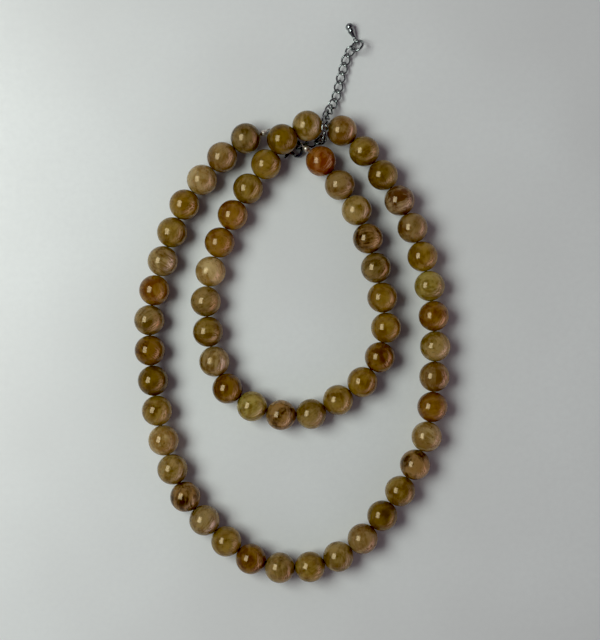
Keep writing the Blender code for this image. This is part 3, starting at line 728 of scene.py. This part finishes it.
def string_thread(name, places):
    """The thread through the stones of one turn, from one end to the other."""
    line = bpy.data.curves.new(name, "CURVE")
    line.dimensions = "3D"
    line.bevel_depth = THREAD_DIAMETER / 2.0
    line.bevel_resolution = 3
    line.use_fill_caps = True
    spline = line.splines.new("POLY")
    spline.points.add(len(places) - 1)
    for point, place in zip(spline.points, places):
        point.co = (*place, 1.0)
    maker = bpy.data.objects.new(name, line)
    bm = bmesh.new()
    bm.from_mesh(shown_mesh(maker))
    bpy.data.curves.remove(line)
    finished(name, bm, THREAD, "necklace")


def shown_mesh(maker):
    """The mesh of an object with its modifiers, as a new mesh. The object is removed."""
    bpy.context.scene.collection.objects.link(maker)
    bpy.context.view_layer.update()
    shown = maker.evaluated_get(bpy.context.evaluated_depsgraph_get())
    mesh = bpy.data.meshes.new_from_object(shown)
    bpy.data.objects.remove(maker)
    return mesh


# The metal pieces

def bead_tip(name, ball, loop, loop_axis):
    """A bead tip: a folded shell over the thread's knot, its seam, and its hooked-over loop."""
    bm = bmesh.new()
    radius = TIP_DIAMETER / 2.0
    hole = THREAD_DIAMETER * 0.6
    start = math.asin(hole / radius)
    angles = [math.pi - start - (math.pi - start) * step / 20 for step in range(21)]
    profile = [(hole, -radius * math.cos(start) + 0.25 * MM)]
    profile += [(radius * math.sin(angle), radius * math.cos(angle)) for angle in angles]
    profile[-1] = (0.0, radius)
    turned(bm, profile, placed(ball, loop - ball, loop_axis))
    seam = (loop - ball).cross(loop_axis).normalized()
    for vert in bm.verts:
        if abs((vert.co - ball).dot(seam)) < TIP_SEAM:
            vert.co = ball + (vert.co - ball) * TIP_SEAM_RADIUS
    wire_ring(bm, TIP_LOOP_DIAMETER, TIP_WIRE, placed(loop, loop_axis, loop - ball), 40)
    finished(name, bm, PLATE, "necklace", [name_of_node(name)])


def name_of_node(name):
    """The solid that a piece stands for has the piece's name without its finish."""
    return name.removeprefix("polished_")


def single_ring(name, outside, wire, matrix, cut):
    bm = bmesh.new()
    jump_ring(bm, outside, wire, matrix, cut)
    finished(name, bm, STEEL, "necklace", [name_of_node(name)])


def arc(x, y, radius_x, radius_y, start, end, count):
    """Points of an elliptical arc from start to end, in degrees, both ends included."""
    angles = [math.radians(start + (end - start) * step / (count - 1)) for step in range(count)]
    return [(x + radius_x * math.cos(angle), y + radius_y * math.sin(angle)) for angle in angles]


def full_ellipse(x, y, radius_x, radius_y, count):
    return arc(x, y, radius_x, radius_y, 0.0, 360.0 * (count - 1) / count, count)


class ClaspShape:
    """The lobster clasp's named places, in its own frame and worked out from its sizes."""

    def __init__(self):
        self.body_rear = CLASP_EYE_DIAMETER * 0.24
        self.half_length = (CLASP_REACH - self.body_rear) / 2.0
        self.centre_x = CLASP_REACH - self.half_length
        self.half_width = CLASP_WIDTH / 2.0
        self.opening_front = CLASP_REACH - HOOK_BAR
        self.opening_rear = self.body_rear + self.half_length * 0.7
        self.opening_half = (self.opening_front - self.opening_rear) / 2.0
        self.opening_x = (self.opening_front + self.opening_rear) / 2.0
        self.opening_half_width = self.half_width - HOOK_BAR * 1.05
        self.pivot = (self.opening_rear - HOOK_BAR * 0.4, -self.half_width * 0.5)
        self.pivot_boss = PIVOT_PIN * 1.2
        self.gate_rear = self.opening_rear + HOOK_BAR * 0.5
        self.nose_edge = self.opening_front - HOOK_BAR * 0.8
        self.notch_front = self.opening_front - HOOK_BAR * 0.25
        self.notch_floor = -self.half_width * 0.52

    def spine_at(self, x):
        """The middle of the hook's bar on the spine side at x, and its direction there."""
        outer = self.half_width * math.sqrt(1.0 - ((x - self.centre_x) / self.half_length) ** 2)
        inner = self.opening_half_width * math.sqrt(
            1.0 - ((x - self.opening_x) / self.opening_half) ** 2)
        slope = -((self.half_width / self.half_length) ** 2) * (x - self.centre_x) / outer
        return Vector((x, (outer + inner) / 2.0, 0.0)), Vector((1.0, slope, 0.0)).normalized()

    def body_outlines(self):
        eye = CLASP_EYE_DIAMETER / 2.0
        outer = arc(0.0, 0.0, eye, eye, 50.0, 310.0, 33)
        outer += arc(self.centre_x, 0.0, self.half_length, self.half_width, -155.0, 155.0, 90)
        opening = full_ellipse(self.opening_x, 0.0, self.opening_half, self.opening_half_width, 64)
        eye_hole = full_ellipse(0.0, 0.0, CLASP_EYE_HOLE / 2.0, CLASP_EYE_HOLE / 2.0, 36)
        return [outer, opening, eye_hole]

    def side_outline(self):
        """The clasp seen from the side: x and height, thick in the middle."""
        rear = -CLASP_EYE_DIAMETER
        front = CLASP_REACH * 1.1
        eye = CLASP_EYE_THICKNESS / 2.0
        body = CLASP_THICKNESS / 2.0
        hook = HOOK_THICKNESS / 2.0
        marks = [Vector((rear, eye)), Vector((CLASP_EYE_DIAMETER / 2.0, eye)),
                 Vector((self.opening_rear * 0.75, body)),
                 Vector((self.gate_rear + HOOK_BAR * 0.6, body)),
                 Vector((self.opening_x + HOOK_BAR * 0.5, hook)), Vector((front, hook))]
        return [tuple(mark) for mark in marks] + [(x, -z) for x, z in reversed(marks)]

    def gate_outline(self):
        """The gap in the rim that the lever closes, with the seat for the lever's end."""
        outside = -self.half_width * 1.3
        inside = -self.half_width * 0.29
        return [(self.gate_rear, outside), (self.nose_edge, outside),
                (self.nose_edge, self.notch_floor), (self.notch_front, self.notch_floor),
                (self.notch_front, inside), (self.gate_rear, inside)]

    def slot_outline(self):
        """The slot for the lever's round end, round its pivot."""
        back = self.pivot[0] - self.pivot_boss - LEVER_SIDE_GAP
        front = self.gate_rear + HOOK_BAR * 0.6
        low = -self.half_width * 1.2
        high = self.pivot[1] + self.pivot_boss + LEVER_SIDE_GAP
        return [(back, low), (front, low), (front, high), (back, high)]

    def lever_outlines(self):
        """The lever: a boss, a bar to the hook's tip and a thumb tab."""
        x, y = self.pivot
        tip_x = self.notch_front - LEVER_END_GAP
        tip_y = self.notch_floor + LEVER_END_GAP
        step_x = self.nose_edge - LEVER_END_GAP
        bar_low = -self.half_width * 0.72
        bar_high = -self.half_width * 0.37
        tab_x = self.gate_rear + 0.45 * (step_x - self.gate_rear)
        tab_low = bar_low - THUMB_TAB
        boss = arc(x, y, self.pivot_boss, self.pivot_boss, 70.0, 290.0, 30)
        bar = [(tab_x - HOOK_BAR * 0.7, bar_low), (tab_x - HOOK_BAR * 0.1, tab_low),
               (tab_x + HOOK_BAR * 0.45, tab_low * 0.96), (tab_x + HOOK_BAR * 0.7, bar_low),
               (step_x, bar_low * 0.92), (step_x, tip_y), (tip_x, tip_y),
               (tip_x, tip_y + HOOK_BAR * 0.4), (self.opening_x, bar_high)]
        hole = PIVOT_PIN / 2.0 + PIVOT_GAP
        return [boss + bar, full_ellipse(x, y, hole, hole, 24)]


def plate(name, outlines, thickness):
    """A plate in XY from closed outlines, the later ones being holes, as a maker object."""
    curve = bpy.data.curves.new(name, "CURVE")
    curve.dimensions = "2D"
    curve.fill_mode = "BOTH"
    curve.extrude = thickness / 2.0
    for outline in outlines:
        spline = curve.splines.new("POLY")
        spline.points.add(len(outline) - 1)
        for point, (x, y) in zip(spline.points, outline):
            point.co = (x, y, 0.0, 1.0)
        spline.use_cyclic_u = True
    mesh = shown_mesh(bpy.data.objects.new(name, curve))
    bpy.data.curves.remove(curve)
    bm = bmesh.new()
    bm.from_mesh(mesh)
    bmesh.ops.remove_doubles(bm, verts=bm.verts, dist=1e-6)
    bmesh.ops.recalc_face_normals(bm, faces=bm.faces)
    bm.to_mesh(mesh)
    bm.free()
    return bpy.data.objects.new(name, mesh)


def cast_form(maker, cutters, grid):
    """The maker's plate cut and joined with the cutters, then softened like a polished casting."""
    for cutter, operation in cutters:
        bpy.context.scene.collection.objects.link(cutter)
        change = maker.modifiers.new(cutter.name, "BOOLEAN")
        change.operation = operation
        change.object = cutter
        change.solver = "EXACT"
    remesh = maker.modifiers.new("cast", "REMESH")
    remesh.mode = "VOXEL"
    remesh.voxel_size = grid
    soft = maker.modifiers.new("soften", "SMOOTH")
    soft.factor = 0.5
    soft.iterations = CAST_SOFTENING
    mesh = shown_mesh(maker)
    for cutter, _ in cutters:
        bpy.data.objects.remove(cutter)
    bm = bmesh.new()
    bm.from_mesh(mesh)
    bpy.data.meshes.remove(mesh)
    return bm


def clasp_pieces(shape, eye):
    """The clasp's body and its lever, lying flat with the eye's centre at eye."""
    in_place = Matrix.Translation(eye) @ Matrix.Rotation(CLASP_AZIMUTH, 4, "Z")
    side = plate("clasp_side", [shape.side_outline()], CLASP_WIDTH * 2.0)
    side.rotation_euler.x = math.radians(90.0)
    gate = plate("clasp_gate", [shape.gate_outline()], CLASP_THICKNESS * 2.0)
    slot = plate("clasp_slot", [shape.slot_outline()], LEVER_THICKNESS + 2.0 * LEVER_SIDE_GAP)
    pin = plate("clasp_pin", [full_ellipse(*shape.pivot, PIVOT_PIN / 2.0, PIVOT_PIN / 2.0, 24)],
                CLASP_THICKNESS * 0.98)
    blank = plate("clasp_blank", shape.body_outlines(), CLASP_THICKNESS * 1.5)
    body = cast_form(blank, [(side, "INTERSECT"), (gate, "DIFFERENCE"), (slot, "DIFFERENCE"),
                             (pin, "UNION")], CAST_GRID)
    bmesh.ops.transform(body, matrix=in_place, verts=body.verts)
    finished("polished_clasp_body", body, STEEL, "necklace", ["clasp_body"])
    lever = cast_form(plate("lever_blank", shape.lever_outlines(), LEVER_THICKNESS), [], LEVER_GRID)
    bmesh.ops.transform(lever, matrix=in_place, verts=lever.verts)
    finished("polished_clasp_lever", lever, STEEL, "lever", ["clasp_lever"])


def link_place(angle):
    """The middle of a curb link's wire at an angle round it, lying along X."""
    along = math.cos(angle) * (LINK_LENGTH - LINK_WIRE) / 2.0
    across = math.sin(angle) * (LINK_WIDTH - LINK_WIRE) / 2.0
    turn = LINK_TWIST * math.cos(angle)
    return Vector((along, across * math.cos(turn), across * math.sin(turn)))


def curb_link(bm, matrix):
    """One curb link: a ring of wire drawn to an oval, with its two ends twisted opposite ways."""
    made = bmesh.new()
    spin_round(made, wire_section(made, LINK_LENGTH / 2.0, LINK_WIRE_SHOWN), UP, LINK_ROUND)
    for vert in made.verts:
        angle = math.atan2(vert.co.y, vert.co.x)
        outward = math.hypot(vert.co.x, vert.co.y) - LINK_LENGTH / 2.0
        centre = link_place(angle)
        way = (link_place(angle + 0.01) - link_place(angle - 0.01)).normalized()
        side = (centre - centre.dot(way) * way).normalized()
        vert.co = centre + side * outward + way.cross(side) * -vert.co.z
    add_to(bm, made, matrix)


def extension_chain(start):
    """The links from the end ring's wire at start. Gives the last link's place and heading."""
    route = [Vector((*start, math.radians(CHAIN_START_ROLL)))]
    route += [Vector((x * MM, y * MM, z * MM, math.radians(roll))) for x, y, z, roll in CHAIN_ROUTE]
    places = smooth_curve(route)
    pitch = LINK_LENGTH - 2.0 * LINK_WIRE - LINK_GAP
    reach = LINK_LENGTH / 2.0 - LINK_WIRE - END_RING_WIRE / 2.0 - LINK_GAP
    bm = bmesh.new()
    for number in range(LINK_COUNT):
        place, direction = place_along(places, reach + number * pitch)
        across = UP.cross(direction).normalized()
        upward = direction.cross(across)
        normal = math.cos(place.w) * upward + math.sin(place.w) * across
        curb_link(bm, placed(place.xyz, normal, direction))
    finished("extension_chain", bm, STEEL, "necklace",
             [f"chain_link_{number + 1:02d}" for number in range(LINK_COUNT)])
    return place.xyz, direction


def drop_profile():
    """The teardrop's profile: a flat neck, a hollow flank and a round ball below."""
    ball = DROP_DIAMETER / 2.0
    centre = -(DROP_LENGTH - ball)
    marks = [(DROP_NECK * 0.33, 0.0), (DROP_NECK * 0.48, -DROP_NECK * 0.12),
             (DROP_NECK / 2.0, -DROP_NECK * 0.5), (DROP_NECK * 0.6, centre * 0.27),
             (DROP_NECK * 0.78, centre * 0.45), (DROP_NECK * 1.06, centre * 0.65)]
    marks += [(ball * math.cos(math.radians(angle)), centre + ball * math.sin(math.radians(angle)))
              for angle in (36.0, 18.0, 0.0, -18.0, -36.0, -54.0, -72.0)]
    line = smooth_curve([Vector((x, 0.0, z)) for x, z in marks], 5)
    return [(0.0, 0.0)] + [(point.x, point.z) for point in line] + [(0.0, centre - ball)]


def metal_drop(loop):
    """The teardrop lying on the table, with its soldered loop centred at loop."""
    stem = DROP_LOOP_DIAMETER / 2.0 - DROP_LOOP_WIRE
    away = heading(DROP_AZIMUTH)
    ball = loop + away * (stem + DROP_LENGTH - DROP_DIAMETER / 2.0)
    ball.z = DROP_DIAMETER / 2.0 + FLOOR_GAP
    axis = (loop - ball).normalized()
    bm = bmesh.new()
    turned(bm, drop_profile(), placed(loop - axis * stem, axis, UP))
    across = UP.cross(axis).normalized()
    level = axis.cross(across)
    wire_ring(bm, DROP_LOOP_DIAMETER, DROP_LOOP_WIRE,
              placed(loop, math.cos(DROP_LOOP_ROLL) * level + math.sin(DROP_LOOP_ROLL) * across,
                     axis), 44)
    finished("polished_drop", bm, STEEL, "necklace", ["drop"])


def clasp_end(last):
    """The outer turn's bead tip after its last stone, and the clasp's ring. Gives the middles of
    the tip's ball and of the clasp's eye."""
    tip_way = heading(OUTER_TIP_AZIMUTH, OUTER_TIP_DIP)
    ball = last + tip_way * (BEAD_RADIUS + TIP_GAP + TIP_DIAMETER / 2.0)
    loop = ball + tip_way * TIP_REACH
    radius = (CLASP_RING_DIAMETER - CLASP_RING_WIRE) / 2.0
    height = CLASP_RING_DIAMETER / 2.0 + FLOOR_GAP
    way = heading(CLASP_RING_AZIMUTH)
    lean = math.asin(max(min((loop.z - height) / radius, 1.0), -1.0))
    centre = loop + way * radius * math.cos(lean)
    centre.z = height
    eye_faces = [(CLASP_THICKNESS + face * CLASP_EYE_THICKNESS) / 2.0 - height
                 for face in (-1.0, 1.0)]
    eye = centre + way * (sum(math.sqrt(radius ** 2 - face ** 2) for face in eye_faces) / 2.0)
    eye.z = CLASP_THICKNESS / 2.0
    bead_tip("polished_outer_bead_tip", ball, loop, math.cos(lean) * UP + math.sin(lean) * way)
    single_ring("polished_clasp_ring", CLASP_RING_DIAMETER, CLASP_RING_WIRE,
                placed(centre, way.cross(UP), UP), CLASP_RING_CUT)
    return ball, eye


def hooked_ring(shape, eye):
    """The end ring round the clasp's hook. Gives its middle and the way across the hook."""
    to_place = Matrix.Translation(eye) @ Matrix.Rotation(CLASP_AZIMUTH, 4, "Z")
    bar, bar_way = shape.spine_at(shape.opening_front - HOOK_BAR * 0.75)
    bar_way = to_place.to_3x3() @ bar_way
    across = UP.cross(bar_way).normalized()
    centre = to_place @ bar + across * END_RING_SHIFT
    centre.z = END_RING_DIAMETER / 2.0 + FLOOR_GAP
    single_ring("polished_end_ring", END_RING_DIAMETER, END_RING_WIRE,
                placed(centre, bar_way, UP), END_RING_CUT)
    return centre, across


def stone_string(inner, outer, inner_ball, outer_ball):
    """The two turns of stones on their thread, between the balls of the bead tips."""
    draw = random.Random(STONE_SEED)
    settle(inner, inner_ball, outer[0])
    settle(outer, inner[-1], outer_ball)
    inner_axis = (outer[0] - inner[-2]).normalized()
    string_turn("inner_turn_stones", "inner_bead_strand", inner, inner_ball,
                inner[-1] + inner_axis * BEAD_DIAMETER, STONE_ORDER[:INNER_STONES], draw)
    string_turn("outer_turn_stones", "outer_bead_strand", outer, inner[-1], outer_ball,
                STONE_ORDER[INNER_STONES:], draw)
    string_thread("string_thread", [inner_ball] + inner + outer + [outer_ball])


def chain_end(last, way):
    """The ring in the chain's last link, and the drop on it."""
    radius = (DROP_RING_DIAMETER - DROP_RING_WIRE) / 2.0
    hold = last + way * (LINK_LENGTH / 2.0 - LINK_WIRE - DROP_RING_WIRE / 2.0 - DROP_RING_SLACK)
    tilt_axis = heading(DROP_RING_HIGH_SIDE - math.radians(90.0))
    normal = Matrix.Rotation(-DROP_RING_TILT, 3, tilt_axis) @ UP
    inward = square_to(normal, heading(DROP_RING_AZIMUTH))
    centre = hold + inward * radius
    single_ring("polished_drop_ring", DROP_RING_DIAMETER, DROP_RING_WIRE,
                placed(centre, normal, inward), DROP_RING_CUT)
    side = square_to(normal, heading(DROP_AZIMUTH))
    metal_drop(centre + side * radius + heading(DROP_AZIMUTH) * DROP_LOOP_SLACK)


def dress_necklace():
    """Every piece of the necklace, in the places that the solids have."""
    inner = bead_centres("inner")
    outer = bead_centres("outer")
    outer_ball, eye = clasp_end(outer[-1])
    shape = ClaspShape()
    clasp_pieces(shape, eye)
    end_centre, end_way = hooked_ring(shape, eye)
    end_radius = (END_RING_DIAMETER - END_RING_WIRE) / 2.0

    # The inner turn's bead tip, its loop on top of the end ring
    inner_hold = end_centre + UP * end_radius
    inner_way = (inner_hold - inner[0]).normalized()
    inner_ball = inner_hold - inner_way * TIP_REACH
    bead_tip("polished_inner_bead_tip", inner_ball, inner_hold, end_way)

    stone_string(inner, outer, inner_ball, outer_ball)
    chain_end(*extension_chain(end_centre + end_way * end_radius))


# The table, the light and the camera

def lay_table():
    bm = bmesh.new()
    bmesh.ops.create_grid(bm, x_segments=4, y_segments=4, size=TABLE_SIDE / 2.0)
    mesh = bpy.data.meshes.new("tabletop")
    bm.to_mesh(mesh)
    bm.free()
    mesh.materials.append(satin_tabletop())
    table = bpy.data.objects.new("tabletop", mesh)
    bpy.context.scene.collection.objects.link(table)


def hang_window():
    """A tall soft window to the left, as large and near as the stones' own glints show it."""
    light = bpy.data.lights.new("window", "AREA")
    light.shape = "RECTANGLE"
    light.size, light.size_y = WINDOW_SIZE
    light.color = tone(WINDOW_TONE)
    light.energy = WINDOW_RADIANCE * math.pi * WINDOW_SIZE[0] * WINDOW_SIZE[1]
    window = bpy.data.objects.new("window", light)
    way = Vector(stone_way(WINDOW_AZIMUTH, WINDOW_OFF_VERTICAL))
    window.matrix_world = placed(CAMERA_PLACE * Vector((1.0, 1.0, 0.0)) + way * WINDOW_DISTANCE,
                                 way, Vector((-way.y, way.x, 0.0)).cross(way))
    bpy.context.scene.collection.objects.link(window)


def set_room():
    """A dark ceiling that pales down to the walls, and the far lamp low on the right."""
    world = bpy.data.worlds.new("room")
    bpy.context.scene.world = world
    world.use_nodes = True
    tree = world.node_tree
    way = add_node(tree, "ShaderNodeTexCoord").outputs["Generated"]
    height = add_node(tree, "ShaderNodeSeparateXYZ", {"Vector": way}).outputs["Z"]
    room = blend_of(tree, spread(tree, height, CEILING_RISE, WALL_RISE), colour(CEILING_TONE),
                    colour(WALL_TONE))
    lamp_way = Vector(stone_way(FAR_LAMP_AZIMUTH, 90.0))
    facing = add_node(tree, "ShaderNodeVectorMath", {0: way, 1: lamp_way},
                      operation="DOT_PRODUCT").outputs["Value"]
    above = sum_of(tree, "MULTIPLY", spread(tree, height, *FAR_LAMP_FOOT),
                   spread(tree, height, *FAR_LAMP_HEAD))
    lamp = sum_of(tree, "MULTIPLY", spread(tree, facing, *FAR_LAMP_EDGE), above)
    lamp = sum_of(tree, "MULTIPLY", lamp, FAR_LAMP_STRENGTH)
    glow = blend_of(tree, lamp, (0.0, 0.0, 0.0, 1.0), colour(FAR_LAMP_TONE))
    lit = blend_of(tree, 1.0, room, glow, "ADD")
    tree.links.new(lit, tree.nodes["Background"].inputs["Color"])
    view = bpy.context.scene.view_settings
    view.view_transform = "Standard"
    view.use_curve_mapping = True
    view.curve_mapping.black_level = (BLACK_POINT, BLACK_POINT, BLACK_POINT)


def set_camera():
    lens = bpy.data.cameras.new("above")
    lens.sensor_width = CAMERA_SENSOR
    lens.lens = CAMERA_LENS
    lens.clip_start = 0.01
    camera = bpy.data.objects.new("above", lens)
    camera.location = CAMERA_PLACE
    bpy.context.scene.collection.objects.link(camera)
    bpy.context.scene.camera = camera


FELDSPAR = polished_feldspar()
STEEL = polished_steel()
PLATE = satin_plate()
THREAD = waxed_thread()
dress_necklace()
lay_table()
hang_window()
set_room()
set_camera()
